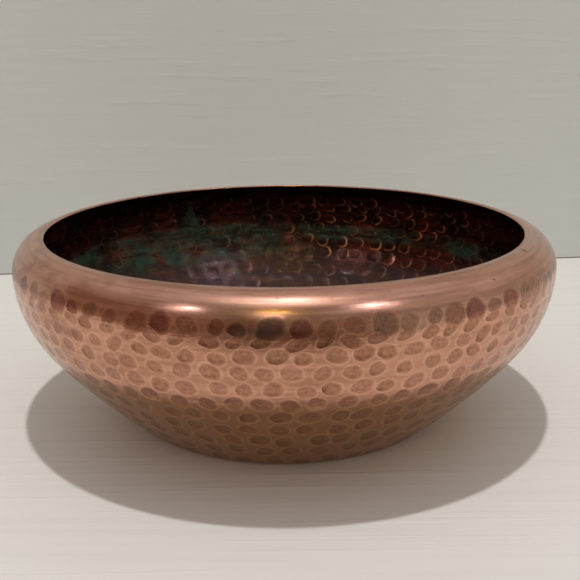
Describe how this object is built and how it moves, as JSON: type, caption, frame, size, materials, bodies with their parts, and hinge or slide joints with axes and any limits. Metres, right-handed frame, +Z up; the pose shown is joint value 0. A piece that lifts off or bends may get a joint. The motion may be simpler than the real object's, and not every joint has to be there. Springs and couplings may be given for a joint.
{
  "type": "bowl",
  "caption": "Low round bowl of hammered copper sheet, with a smooth in-curved shoulder, a plain level lip and a small flat base.",
  "frame": {"origin": "centre of the flat base, on the surface that the bowl stands on", "axes": "+Z up along the bowl's axis of revolution; X and Y are free, because the bowl is round"},
  "size_m": [0.254, 0.254, 0.09],
  "materials": {
    "copper": "satin copper, tarnished inside"
  },
  "bodies": {
    "root": {"bowl": "copper"}
  },
  "joints": []
}
